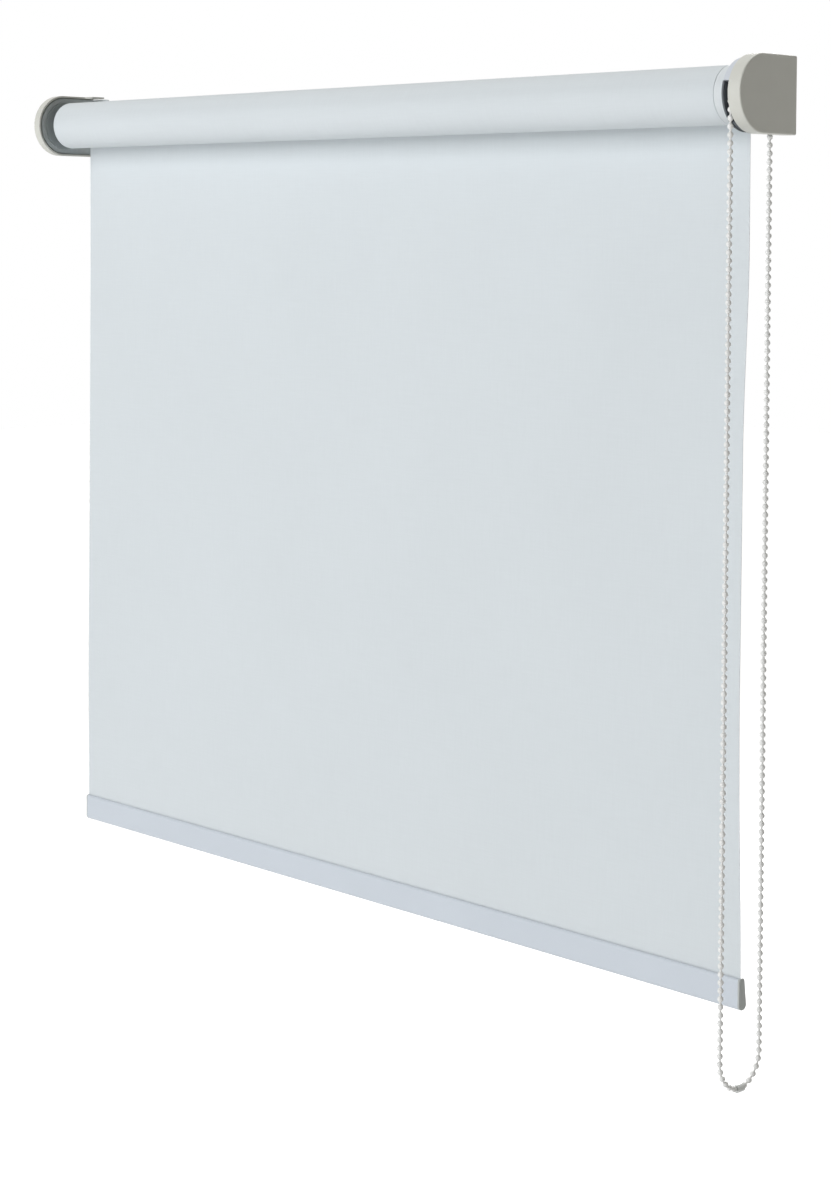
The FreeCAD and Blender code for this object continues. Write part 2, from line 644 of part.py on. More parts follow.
def key_groove(body, start, length):
    """Cuts the groove for the tube's inner rib into a plug."""
    half = "(Sizes.key_width / 2 + Sizes.tube_fit)"
    low = f"({TUBE_BORE} - Sizes.key_height - Sizes.tube_fit)"
    groove = sketch_on(body, "YZ_Plane", offset=start)
    polygon(groove, [(f"-{half}", low), (half, low), (half, TUBE_RADIUS), (f"-{half}", TUBE_RADIUS)])
    cut(body, groove, length, forwards=True)


def roller_tube():
    """Aluminium tube with a rib along its inside."""
    body = turned("roller_tube", [
        (f"-{TUBE_END}", TUBE_BORE),
        (TUBE_END, TUBE_BORE),
        (TUBE_END, TUBE_RADIUS),
        (f"-{TUBE_END}", TUBE_RADIUS),
    ])
    half = "Sizes.key_width / 2"
    low = f"({TUBE_BORE} - Sizes.key_height)"
    high = f"({TUBE_RADIUS} - Sizes.tube_wall / 2)"
    rib = sketch_on(body, "YZ_Plane", offset=f"-{TUBE_END}")
    polygon(rib, [(f"-{half}", low), (half, low), (half, high), (f"-{half}", high)])
    pad(body, rib, f"2 * {TUBE_END}")


def wound_cloth():
    """The cloth on the tube and the flat tape that holds its inner edge."""
    under = f"({TUBE_RADIUS} + Sizes.tape_room)"
    turned("fabric_roll", [
        (f"-{HALF_CLOTH}", under),
        (HALF_CLOTH, under),
        (HALF_CLOTH, ROLL_RADIUS),
        (f"-{HALF_CLOTH}", ROLL_RADIUS),
    ])
    tape_end = f"({HALF_CLOTH} - Sizes.tape_inset)"
    box_piece("fixing_tape", [
        (f"-{tape_end}", f"2 * {tape_end}"),
        (f"{AXIS} - Sizes.tape_width / 2", "Sizes.tape_width"),
        (TUBE_RADIUS, "Sizes.tape_thickness"),
    ])


def drive_hub():
    """The hub that turns on the core, keys into the tube and takes the wheel's dogs."""
    recess_end = f"({HUB_IN} + Sizes.hub_recess_depth)"
    shoulder = f"({SLEEVE_IN} - Sizes.dog_clearance)"
    sleeve_room = "(Sizes.sleeve_radius + Sizes.running_fit)"
    body = turned("drive_hub", [
        (HUB_IN, "Sizes.hub_recess_radius"),
        (recess_end, "Sizes.hub_recess_radius"),
        (recess_end, ON_CORE),
        (shoulder, ON_CORE),
        (shoulder, sleeve_room),
        (FLANGE_OUT, sleeve_room),
        (FLANGE_OUT, "Sizes.hub_collar_radius"),
        (FLANGE_IN, "Sizes.hub_collar_radius"),
        (FLANGE_IN, PLUG_RADIUS),
        (HUB_IN, PLUG_RADIUS),
    ])
    key_groove(body, HUB_IN, "Sizes.hub_length")
    slot = sketch_on(body, "YZ_Plane", offset=f"{shoulder} - Sizes.dog_length")
    polygon(slot, dog_outline("Sizes.dog_clearance"))
    depth = "Sizes.dog_length + Sizes.dog_clearance"
    repeat(body, cut(body, slot, depth, forwards=True), "2")


def hub_flange():
    """The white ring beside the cloth, as large as the roll."""
    edge = "Sizes.hub_flange_chamfer"
    turned("hub_flange", [
        (FLANGE_IN, "Sizes.hub_collar_radius"),
        (FLANGE_OUT, "Sizes.hub_collar_radius"),
        (FLANGE_OUT, f"{ROLL_RADIUS} - {edge}"),
        (f"{FLANGE_OUT} - {edge}", ROLL_RADIUS),
        (f"{FLANGE_IN} + {edge}", ROLL_RADIUS),
        (FLANGE_IN, f"{ROLL_RADIUS} - {edge}"),
    ])


# Idle end

def idle_end():
    """The plug in the tube, its spring pin, spring and cap, and the socket on the bracket."""
    flange_out = f"({PLUG_FACE} - Sizes.plug_flange_width)"
    plug_in = f"({PLUG_FACE} + Sizes.plug_length)"
    wall_in = f"({flange_out} + Sizes.plug_front_wall)"
    plug_bore = "(Sizes.pin_radius + Sizes.running_fit)"
    plug = turned("idle_plug", [
        (flange_out, plug_bore),
        (wall_in, plug_bore),
        (wall_in, "Sizes.plug_cavity_radius"),
        (plug_in, "Sizes.plug_cavity_radius"),
        (plug_in, PLUG_RADIUS),
        (PLUG_FACE, PLUG_RADIUS),
        (PLUG_FACE, TUBE_RADIUS),
        (flange_out, TUBE_RADIUS),
    ])
    key_groove(plug, PLUG_FACE, "Sizes.plug_length")
    cap_out = f"({plug_in} - Sizes.plug_cap_width)"
    turned("plug_cap", [
        (cap_out, "Sizes.plug_cap_bore"),
        (plug_in, "Sizes.plug_cap_bore"),
        (plug_in, "Sizes.plug_cavity_radius"),
        (cap_out, "Sizes.plug_cavity_radius"),
    ])
    tip = f"({IDLE_SIDE_IN} + Sizes.pin_end_gap)"
    bevel = "Sizes.pin_tip_chamfer"
    collar_out = f"({wall_in} + Sizes.collar_gap)"
    collar_in = f"({collar_out} + Sizes.pin_collar_width)"
    turned("idle_pin", [
        (tip, "0"),
        (f"{collar_in} + Sizes.pin_tail", "0"),
        (f"{collar_in} + Sizes.pin_tail", "Sizes.pin_tail_radius"),
        (collar_in, "Sizes.pin_tail_radius"),
        (collar_in, "Sizes.pin_collar_radius"),
        (collar_out, "Sizes.pin_collar_radius"),
        (collar_out, "Sizes.pin_radius"),
        (f"{tip} + {bevel}", "Sizes.pin_radius"),
        (tip, f"Sizes.pin_radius - {bevel}"),
    ])
    spring_out = f"({collar_in} + Sizes.pin_spring_gap)"
    spring_in = f"({cap_out} - Sizes.pin_spring_gap)"
    turned("pin_spring", [
        (spring_out, "Sizes.pin_spring_inner"),
        (spring_in, "Sizes.pin_spring_inner"),
        (spring_in, "Sizes.pin_spring_outer"),
        (spring_out, "Sizes.pin_spring_outer"),
    ])
    socket_in = f"({IDLE_SIDE_IN} + Sizes.socket_length)"
    flange_in = f"({IDLE_SIDE_IN} + Sizes.socket_flange_width)"
    turned("idle_socket", [
        (IDLE_SIDE_OUT, plug_bore),
        (socket_in, plug_bore),
        (socket_in, "Sizes.socket_radius"),
        (flange_in, "Sizes.socket_radius"),
        (flange_in, "Sizes.socket_flange_radius"),
        (IDLE_SIDE_IN, "Sizes.socket_flange_radius"),
        (IDLE_SIDE_IN, "Sizes.socket_spigot_radius"),
        (IDLE_SIDE_OUT, "Sizes.socket_spigot_radius"),
    ])


# Hanging cloth and bottom bar

def fabric_drop():
    """The cloth from the back of the roll down to the bottom bar."""
    box_piece("fabric_drop", [
        (f"-{HALF_CLOTH}", "Sizes.fabric_width"),
        (CLOTH_FRONT, "Sizes.fabric_thickness"),
        (BAR_TOP, "Sizes.fabric_drop_length"),
    ])


def bar_outline():
    """Corners of the bar's section, seen along X: upright in front, sloping behind."""
    top_back = f"({BAR_FRONT} + Sizes.bar_top_thickness)"
    foot_back = f"({BAR_FRONT} + Sizes.bar_foot_thickness)"
    return [(BAR_FRONT, BAR_FOOT), (foot_back, BAR_FOOT), (top_back, BAR_TOP), (BAR_FRONT, BAR_TOP)]


def chamber_outline(inset):
    """Corners of the bar's lower chamber, drawn in by inset, with bevels at its foot."""
    front = f"({BAR_FRONT} + Sizes.bar_wall + {inset})"
    foot = f"({CHAMBER_FOOT} + {inset})"
    bevel_top = f"({foot} + Sizes.bar_chamber_bevel)"
    top = f"({CHAMBER_TOP} - {inset})"
    return [
        (f"{front} + Sizes.bar_chamber_bevel", foot),
        (f"{chamber_back(bevel_top, inset)} - Sizes.bar_chamber_bevel", foot),
        (chamber_back(bevel_top, inset), bevel_top),
        (chamber_back(top, inset), top),
        (front, top),
        (front, bevel_top),
    ]


def chamber_back(level, inset):
    """Sloping back of the lower chamber at the height of level."""
    slope = "((Sizes.bar_foot_thickness - Sizes.bar_top_thickness) / Sizes.bar_height)"
    thickness = f"(Sizes.bar_top_thickness + {slope} * ({BAR_TOP} - {level}))"
    return f"({BAR_FRONT} + {thickness} - Sizes.bar_wall - {inset})"


def is_bar_edge(edge, level):
    """True for a long edge of the bar at the height of level."""
    return runs_along(edge, Vector(1, 0, 0)) and abs(edge.CenterOfMass.z - number(level)) < SAME


def bottom_rail():
    """Aluminium section with a slotted channel for the cloth above a hollow chamber."""
    body = new_body("bottom_rail")
    outline = sketch_on(body, "YZ_Plane", offset=f"-{RAIL_END}")
    polygon(outline, bar_outline())
    pad(body, outline, f"2 * {RAIL_END}")
    round_edges(body, "Sizes.bar_top_round", lambda edge: is_bar_edge(edge, BAR_TOP))
    round_edges(body, "Sizes.bar_foot_round", lambda edge: is_bar_edge(edge, BAR_FOOT))
    chamber = sketch_on(body, "YZ_Plane")
    polygon(chamber, chamber_outline("0"))
    cut(body, chamber)
    front = f"({BAR_FRONT} + Sizes.bar_wall)"
    back = f"({BAR_FRONT} + Sizes.bar_top_thickness - Sizes.bar_wall)"
    channel_top = f"({BAR_TOP} - Sizes.bar_top_wall)"
    channel_foot = f"({channel_top} - Sizes.bar_channel_depth)"
    channel = sketch_on(body, "YZ_Plane")
    corners = [(front, channel_foot), (back, channel_foot), (back, channel_top), (front, channel_top)]
    polygon(channel, corners)
    cut(body, channel)
    half = "Sizes.bar_slot_width / 2"
    low, high = f"({CLOTH_MID} - {half})", f"({CLOTH_MID} + {half})"
    middle = f"({channel_top} - Sizes.bar_channel_depth / 2)"
    above = f"({BAR_TOP} + Sizes.bar_wall)"
    slot = sketch_on(body, "YZ_Plane")
    polygon(slot, [(low, middle), (high, middle), (high, above), (low, above)])
    cut(body, slot)


def rail_cap(label, outward):
    """An end cap: a flange of the bar's outline and a plug in its lower chamber."""
    body = new_body(label)
    flange = sketch_on(body, "YZ_Plane", offset=f"{outward} * {RAIL_END}")
    polygon(flange, bar_outline())
    pad(body, flange, "Sizes.cap_flange", backwards=outward < 0)
    round_edges(body, "Sizes.bar_top_round", lambda edge: is_bar_edge(edge, BAR_TOP))
    round_edges(body, "Sizes.bar_foot_round", lambda edge: is_bar_edge(edge, BAR_FOOT))
    face_at = outward * number(BAR_END)
    round_edges(body, "Sizes.cap_edge", lambda edge: lies_at(edge, face_at))
    plug = sketch_on(body, "YZ_Plane", offset=f"{outward} * {RAIL_END}")
    polygon(plug, chamber_outline("Sizes.cap_plug_clearance"))
    pad(body, plug, "Sizes.cap_plug_length", backwards=outward > 0)


def cloth_in_bar():
    """The rod in the bar's channel, and the hem that comes through the slot and goes round it."""
    end = f"({RAIL_END} - Sizes.spline_inset)"
    level = f"({BAR_TOP} - Sizes.spline_drop)"
    rod = along_bar("fabric_spline", "Sizes.spline_radius", end, level)
    pieces.append(rod)
    loop = along_bar("hem_loop", "Sizes.spline_radius + Sizes.fabric_thickness", end, level)
    rod_room = along_bar("hem_room", "Sizes.spline_radius", end, level)
    strip = box("hem_strip", [
        (f"-{end}", f"2 * {end}"),
        (CLOTH_FRONT, "Sizes.fabric_thickness"),
        (level, "Sizes.spline_drop"),
    ])
    joined = doc.addObject("Part::MultiFuse", "hem_joined")
    joined.Shapes = [loop, strip]
    hem = doc.addObject("Part::Cut", "fabric_hem")
    hem.Base = joined
    hem.Tool = rod_room
    pieces.append(hem)


def along_bar(label, radius, end, level):
    """A round rod along the middle of the cloth, from -end to end."""
    rod = doc.addObject("Part::Cylinder", label)
    rod.setExpression("Radius", radius)
    rod.setExpression("Height", f"2 * {end}")
    rod.Placement = Placement(Vector(0, 0, 0), Rotation(Vector(0, 1, 0), 90))
    rod.setExpression("Placement.Base.x", f"-{end}")
    rod.setExpression("Placement.Base.y", CLOTH_MID)
    rod.setExpression("Placement.Base.z", level)
    return rod


# Bead chain

def in_wheel_plane(across, up):
    """A point in the plane of the chain, from its distance behind the axis and its height."""
    return Vector(number(WHEEL_MID), number(AXIS) + across, up)


def rounded_path(points):
    """Straight runs through the points, joined by tangent arcs, and the arcs' radii."""
    edges = []
    radii = []
    start = points[0]
    for before, corner, after in zip(points, points[1:], points[2:]):
        arriving = (corner - before).normalize()
        leaving = (after - corner).normalize()
        half_turn = arriving.getAngle(leaving) / 2
        shorter = min((corner - before).Length, (after - corner).Length)
        back = ARC_SHARE * shorter
        bisector = (leaving - arriving).normalize()
        radius = back / math.tan(half_turn)
        sag = radius * (1 / math.cos(half_turn) - 1)
        first = corner - arriving * back
        last = corner + leaving * back
        edges.append(Part.LineSegment(start, first).toShape())
        edges.append(Part.Arc(first, corner + bisector * sag, last).toShape())
        radii.append(radius)
        start = last
    edges.append(Part.LineSegment(start, points[-1]).toShape())
    return Part.Wire(edges), radii


def cord_along(path):
    """A round cord along a path."""
    edge = path.Edges[0]
    start = edge.valueAt(edge.FirstParameter)
    heading = edge.tangentAt(edge.FirstParameter)
    section = Part.Circle(start, heading, number("Sizes.cord_diameter / 2")).toShape()
    tube = path.makePipeShell([Part.Wire(section)], True, False)
    expected = section.Curve.Radius ** 2 * math.pi * path.Length
    if abs(tube.Volume / expected - 1) > 0.001:
        raise ValueError("the cord's volume is not its section times its length")
    return tube


def one_bead():
    """A bead with its hole along X."""
    radius = number("Sizes.bead_diameter / 2")
    bore = number("Sizes.bead_bore / 2")
    half = math.sqrt(radius ** 2 - bore ** 2)
    start, end = Vector(-half, bore, 0), Vector(half, bore, 0)
    outline = Part.Wire([
        Part.Arc(start, Vector(0, radius, 0), end).toShape(),
        Part.LineSegment(end, start).toShape(),
    ])
    return Part.Face(outline).revolve(Vector(0, 0, 0), Vector(1, 0, 0), 360)


def beads_at(places):
    """Beads at (centre, heading) places, as a group of separate solids."""
    bead = one_bead()
    group = []
    for centre, heading in places:
        copy = bead.copy()
        copy.Placement = Placement(centre, Rotation(Vector(1, 0, 0), heading))
        group.append(copy)
    return Part.makeCompound(group)


def place_at(path, distance):
    """Point and heading at a distance along a path."""
    for edge in path.OrderedEdges:
        if distance <= edge.Length:
            parameter = edge.getParameterByLength(distance)
            return edge.valueAt(parameter), edge.tangentAt(parameter)
        distance -= edge.Length
    raise ValueError("the distance is past the end of the path")


def shape_piece(label, shape):
    """A piece whose shape is given as it is."""
    piece = doc.addObject("Part::Feature", label)
    piece.Shape = shape
    piece.Placement = Placement()
    pieces.append(piece)
    return piece


def chain_on_wheel():
    """The chain over the wheel and down to where it hangs free on both sides."""
    radius = number(PITCH_RADIUS)
    exit_drop = number("Sizes.exit_drop")
    rise = in_wheel_plane(-radius, -exit_drop)
    front = in_wheel_plane(-radius, 0)
    crown = in_wheel_plane(0, radius)
    rear = in_wheel_plane(radius, 0)
    drop = in_wheel_plane(radius, -exit_drop)
    path = Part.Wire([
        Part.LineSegment(rise, front).toShape(),
        Part.Arc(front, crown, rear).toShape(),
        Part.LineSegment(rear, drop).toShape(),
    ])
    shape_piece("wheel_cord", cord_along(path))
    places = []
    pitch = number("Sizes.bead_pitch")
    step = 2 * math.pi / number("Sizes.pocket_count")
    for pocket in range(int(number("Sizes.pocket_count")) // 2 + 1):
        angle = pocket * step
        centre = in_wheel_plane(-radius * math.cos(angle), radius * math.sin(angle))
        places.append((centre, Vector(0, math.sin(angle), math.cos(angle))))
    for below in range(1, int(exit_drop / pitch) + 1):
        for side in (-radius, radius):
            places.append((in_wheel_plane(side, -below * pitch), Vector(0, 0, 1)))
    shape_piece("wheel_beads", beads_at(places))


def chain_route():
    """Corners of the free chain: down the front strand, round the bottom and up the rear."""
    radius = number(PITCH_RADIUS)
    high = -number("Sizes.exit_drop")
    foot = -number("Sizes.chain_drop")
    bend = foot + number("Sizes.loop_bend_rise")
    half = number("Sizes.loop_foot_half")
    corners = [(-radius, high), (-radius, bend), (-half, foot), (half, foot), (radius, bend), (radius, high)]
    return [in_wheel_plane(across, up) for across, up in corners]


def hanging_chain():
    """The free loop of the chain and its beads."""
    path, radii = rounded_path(chain_route())
    print("chain arcs, mm:", [round(radius, 1) for radius in radii])
    print("free chain, mm:", round(path.Length, 1))
    shape_piece("chain_cord", cord_along(path))
    pairs = round((path.Length / number("Sizes.bead_pitch") - 1) / 2)
    count = 2 * pairs + 1
    pitch = path.Length / count
    places = [place_at(path, (place + 0.5) * pitch) for place in range(count)]
    print("free beads:", count, "at", round(pitch, 3), "mm")
    shape_piece("chain_beads", beads_at(places))


def chain_connector():
    """A split barrel that closes the loop round one bead."""
    half = "Sizes.connector_length / 2"
    lip = f"({half} - Sizes.connector_lip)"
    bore = "(Sizes.connector_radius - Sizes.connector_wall)"
    body = new_body("chain_connector")
    revolve(body, [
        (f"-{half}", "Sizes.connector_mouth"),
        (f"-{lip}", "Sizes.connector_mouth"),
        (f"-{lip}", bore),
        (lip, bore),
        (lip, "Sizes.connector_mouth"),
        (half, "Sizes.connector_mouth"),
        (half, "Sizes.connector_radius"),
        (f"-{half}", "Sizes.connector_radius"),
    ])
    body.Placement = Placement(Vector(0, 0, 0), Rotation(Vector(0, 0, 1), 90))
    body.setExpression("Placement.Base.x", WHEEL_MID)
    body.setExpression("Placement.Base.y", AXIS)
    body.setExpression("Placement.Base.z", "-Sizes.chain_drop")


control_bracket()
cover("control_cover", COVER_IN, COVER_OUT, SIDE_OUT, 1)
clutch_core()
clutch_screws()
clutch_housing()
chain_guard()
wrap_springs()
chain_wheel()
idle_bracket()
cover("idle_cover", IDLE_COVER_IN, IDLE_COVER_OUT, IDLE_SIDE_OUT, -1)
roller_tube()
wound_cloth()
drive_hub()
hub_flange()
idle_end()
fabric_drop()
bottom_rail()
rail_cap("rail_cap_left", -1)
rail_cap("rail_cap_right", 1)
cloth_in_bar()
chain_on_wheel()
hanging_chain()
chain_connector()
doc.recompute()

for item in doc.Objects:
    if "Invalid" in item.State or "Error" in item.State:
        raise ValueError(f"{item.Label} did not build: {item.State}")
for piece in pieces:
    if piece.Shape.isNull() or not piece.Shape.isValid():
        raise ValueError(f"{piece.Label} has no valid shape")

os.makedirs("parts", exist_ok=True)
for piece in pieces:
    piece.Shape.exportStep(f"parts/{piece.Label}.step")
    print(piece.Label, len(piece.Shape.Solids), round(piece.Shape.Volume, 1))
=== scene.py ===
import math
import bpy
from mathutils import Euler, Matrix, Vector


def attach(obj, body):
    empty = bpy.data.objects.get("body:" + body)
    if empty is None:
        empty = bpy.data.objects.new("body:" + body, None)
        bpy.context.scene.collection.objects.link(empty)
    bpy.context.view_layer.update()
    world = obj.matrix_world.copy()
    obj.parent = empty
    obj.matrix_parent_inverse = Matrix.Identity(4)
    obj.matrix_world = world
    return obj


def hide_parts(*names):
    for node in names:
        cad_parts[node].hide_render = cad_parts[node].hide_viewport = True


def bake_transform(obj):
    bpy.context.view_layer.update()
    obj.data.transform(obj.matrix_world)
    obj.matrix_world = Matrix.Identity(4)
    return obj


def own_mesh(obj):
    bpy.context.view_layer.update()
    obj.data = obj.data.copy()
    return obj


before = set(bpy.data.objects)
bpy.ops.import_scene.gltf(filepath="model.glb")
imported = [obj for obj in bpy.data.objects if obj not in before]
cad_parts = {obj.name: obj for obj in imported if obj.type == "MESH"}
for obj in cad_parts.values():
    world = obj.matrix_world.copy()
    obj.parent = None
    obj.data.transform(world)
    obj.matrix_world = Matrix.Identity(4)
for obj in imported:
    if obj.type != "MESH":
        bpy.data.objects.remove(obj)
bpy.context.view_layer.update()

# Roller blind: X along the roller, Y into the wall, Z up, metres.


def span(name):
    """The lowest and highest corner of a node."""
    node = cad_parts[name]
    places = [node.matrix_world @ vertex.co for vertex in node.data.vertices]
    low = Vector(min(place[axis] for place in places) for axis in range(3))
    high = Vector(max(place[axis] for place in places) for axis in range(3))
    return low, high


drop_low, drop_high = span("fabric_drop")

AXIS_Y = -0.036
ROLL_RADIUS = span("fabric_roll")[1].z
HALF_CLOTH = drop_high.x
CLOTH_THICKNESS = drop_high.y - drop_low.y
CLOTH_MID_Y = (drop_high.y + drop_low.y) / 2
BAR_TOP = drop_low.z

# Bead chain
CHAIN_X = 0.417
CHAIN_EXIT = -0.027
PITCH_RADIUS = 0.022984
CORD_DIAMETER = 0.0015
BEAD_RADIUS = 0.00225
BEAD_PITCH = 0.006

# Bodies of the part
FIXED, WHEEL, ROLLER, BAR = "brackets", "chain_wheel_body", "roller", "bottom_bar"


# Camera

SENSOR_MM, LENS_MM = 36, 72.062
FRAME_SHIFT = -0.2333
CAMERA_PLACE = (1.48652, -1.41853, -0.10363)
# In degrees: from +Y round to the left, down from level, and about the line of sight.
CAMERA_TURN, CAMERA_DIP, CAMERA_ROLL = 45.613, 2.003, 0.396

camera_data = bpy.data.cameras.new("camera")
camera_data.sensor_width = SENSOR_MM
camera_data.lens = LENS_MM
camera_data.shift_y = FRAME_SHIFT
camera = bpy.data.objects.new("camera", camera_data)
camera.location = CAMERA_PLACE
turn = Euler((0, 0, math.radians(CAMERA_TURN))).to_matrix()
tilt = Euler((math.radians(90 - CAMERA_DIP), 0, 0)).to_matrix()
roll = Euler((0, 0, math.radians(CAMERA_ROLL))).to_matrix()
camera.matrix_world = Matrix.Translation(camera.location) @ (turn @ tilt @ roll).to_4x4()
bpy.context.collection.objects.link(camera)
bpy.context.scene.camera = camera


# Materials

def srgb(red, green, blue):
    """A colour as it looks on a screen, 0 to 255, in linear values."""
    linear = []
    for value in (red, green, blue):
        share = value / 255
        linear.append(share / 12.92 if share <= 0.04045 else ((share + 0.055) / 1.055) ** 2.4)
    return (*linear, 1.0)


def combined(tree, operation, first, second):
    """Two values added, multiplied or compared in a node tree."""
    joined = tree.nodes.new("ShaderNodeMath")
    joined.operation = operation
    tree.links.new(first, joined.inputs[0])
    tree.links.new(second, joined.inputs[1])
    return joined.outputs["Value"]


class Surface:
    """A material with a Principled shader and the textures that drive it."""

    def __init__(self, name, colour, roughness, metallic=0.0, specular=0.5):
        self.material = bpy.data.materials.new(name)
        self.material.use_nodes = True
        self.tree = self.material.node_tree
        self.shader = self.tree.nodes["Principled BSDF"]
        self.colour = colour
        self.shader.inputs["Base Color"].default_value = colour
        self.shader.inputs["Roughness"].default_value = roughness
        self.shader.inputs["Metallic"].default_value = metallic
        self.shader.inputs["Specular IOR Level"].default_value = specular
        self.space = self.node("ShaderNodeTexCoord").outputs["Object"]
        self.relief = None

    def node(self, kind, **values):
        """A node with some of its inputs or properties set."""
        made = self.tree.nodes.new(kind)
        for key, value in values.items():
            if key in made.inputs:
                made.inputs[key].default_value = value
            else:
                setattr(made, key, value)
        return made

    def link(self, source, target):
        self.tree.links.new(source, target)

    def stretched(self, across, along, up):
        """The surface's coordinates times a factor along each axis."""
        mapping = self.node("ShaderNodeMapping", Scale=(across, along, up))
        self.link(self.space, mapping.inputs["Vector"])
        return mapping.outputs["Vector"]

    def noise(self, scale, detail=3.0, source=None, roughness=0.55):
        texture = self.node("ShaderNodeTexNoise", Scale=scale, Detail=detail, Roughness=roughness)
        self.link(source or self.space, texture.inputs["Vector"])
        return texture.outputs["Fac"]

    def ranged(self, value, low, high, start=0.3, end=0.7):
        """A value from start to end, turned into low to high."""
        limits = {"From Min": start, "From Max": end, "To Min": low, "To Max": high}
        spread = self.node("ShaderNodeMapRange", **limits)
        self.link(value, spread.inputs["Value"])
        return spread.outputs["Result"]

    def mixed(self, share, first, second):
        """A colour between two colours or outputs."""
        mix = self.node("ShaderNodeMix", data_type="RGBA")
        for place, value in ((6, first), (7, second)):
            if isinstance(value, tuple):
                mix.inputs[place].default_value = value
            else:
                self.link(value, mix.inputs[place])
        self.link(share, mix.inputs[0])
        return mix.outputs[2]

    def shaded(self, factor):
        """The surface's own colour, lighter or darker."""
        return tuple(min(1.0, value * factor) for value in self.colour[:3]) + (1.0,)

    def tone(self, share, low=0.97, high=1.02):
        """Varies the colour from low to high times itself."""
        varied = self.mixed(share, self.shaded(low), self.shaded(high))
        self.link(varied, self.shader.inputs["Base Color"])
        return self

    def rough(self, share, low, high):
        self.link(self.ranged(share, low, high), self.shader.inputs["Roughness"])
        return self

    def bump(self, height, distance, strength=1.0):
        """Adds relief of a given depth in metres."""
        relief = self.node("ShaderNodeBump", Strength=strength, Distance=distance)
        self.link(height, relief.inputs["Height"])
        if self.relief is not None:
            self.link(self.relief, relief.inputs["Normal"])
        self.relief = relief.outputs["Normal"]
        self.link(self.relief, self.shader.inputs["Normal"])
        return self


def moulded(name, colour, roughness, grain=2600, depth=0.00002, low=0.975, high=1.015):
    """Moulded plastic: a fine spark grain and slow changes of tone and gloss."""
    surface = Surface(name, colour, roughness)
    surface.tone(surface.ranged(surface.noise(26), 0, 1), low, high)
    surface.rough(surface.noise(90), roughness - 0.06, roughness + 0.06)
    return surface.bump(surface.noise(grain, 2.0), depth, 0.6)


def sheet_steel(name, colour, roughness):
    """Painted or plated steel: rolled streaks along X and a fine grain."""
    surface = Surface(name, colour, roughness)
    streaks = surface.noise(220, 3.0, surface.stretched(0.06, 1, 1))
    surface.tone(surface.ranged(streaks, 0, 1), 0.96, 1.02)
    surface.rough(streaks, roughness - 0.05, roughness + 0.07)
    return surface.bump(surface.noise(1800, 2.0), 0.00002, 0.5)


def bare_metal(name, colour, roughness, stretch):
    """Bare metal with drawing or turning marks stretched along an axis."""
    surface = Surface(name, colour, roughness, metallic=1.0)
    marks = surface.noise(900, 3.0, surface.stretched(*stretch))
    surface.tone(surface.ranged(surface.noise(60), 0, 1), 0.92, 1.04)
    surface.rough(marks, roughness - 0.07, roughness + 0.1)
    return surface.bump(marks, 0.000012, 0.6)


def powder_coat(name, colour, roughness):
    """Baked coating on the bar: an orange-peel skin over slow waves of the drawn metal."""
    surface = Surface(name, colour, roughness)
    surface.tone(surface.ranged(surface.noise(14), 0, 1), 0.985, 1.012)
    peel = surface.noise(900, 2.0)
    surface.rough(surface.noise(120), roughness - 0.04, roughness + 0.05)
    surface.bump(surface.noise(60, 2.0, surface.stretched(0.2, 1, 1)), 0.00004, 0.4)
    return surface.bump(peel, 0.000015, 0.6)


def woven(name, colour, thread=0.00055):
    """Blackout cloth: plain weave under a thin coating, on a UV map laid out in metres."""
    surface = Surface(name, colour, 0.78, specular=0.28)
    uv = surface.node("ShaderNodeUVMap", uv_map="cloth")
    surface.space = uv.outputs["UV"]
    # At a scale of 1 the wave texture repeats every pi / 10.
    bands = []
    for direction in ("X", "Y"):
        band = surface.node(
            "ShaderNodeTexWave", wave_type="BANDS", bands_direction=direction,
            Scale=math.pi / 10 / thread, Distortion=0.6, Detail=1.0,
        )
        band.inputs["Detail Scale"].default_value = 0.4
        surface.link(surface.space, band.inputs["Vector"])
        bands.append(band.outputs["Fac"])
    weave = combined(surface.tree, "MULTIPLY", *bands)
    slub_across = surface.noise(700, 2.0, surface.stretched(0.05, 1, 1))
    slub_down = surface.noise(700, 2.0, surface.stretched(1, 0.05, 1))
    slubs = combined(surface.tree, "ADD", slub_across, slub_down)
    threads = surface.ranged(slubs, 0, 1, 0.7, 1.3)
    soft = surface.ranged(surface.noise(5, 2.0), 0, 1, 0.35, 0.65)
    yarn = surface.mixed(threads, surface.shaded(0.975), surface.shaded(1.02))
    cloudy = surface.mixed(soft, surface.shaded(0.985), surface.shaded(1.012))
    both = surface.node("ShaderNodeMix", data_type="RGBA")
    both.inputs[0].default_value = 0.5
    surface.link(yarn, both.inputs[6])
    surface.link(cloudy, both.inputs[7])
    surface.link(both.outputs[2], surface.shader.inputs["Base Color"])
    surface.shader.inputs["Sheen Weight"].default_value = 0.12
    surface.shader.inputs["Sheen Roughness"].default_value = 0.5
    surface.bump(weave, 0.00004, 0.35)
    return surface.bump(slubs, 0.00003, 0.3)


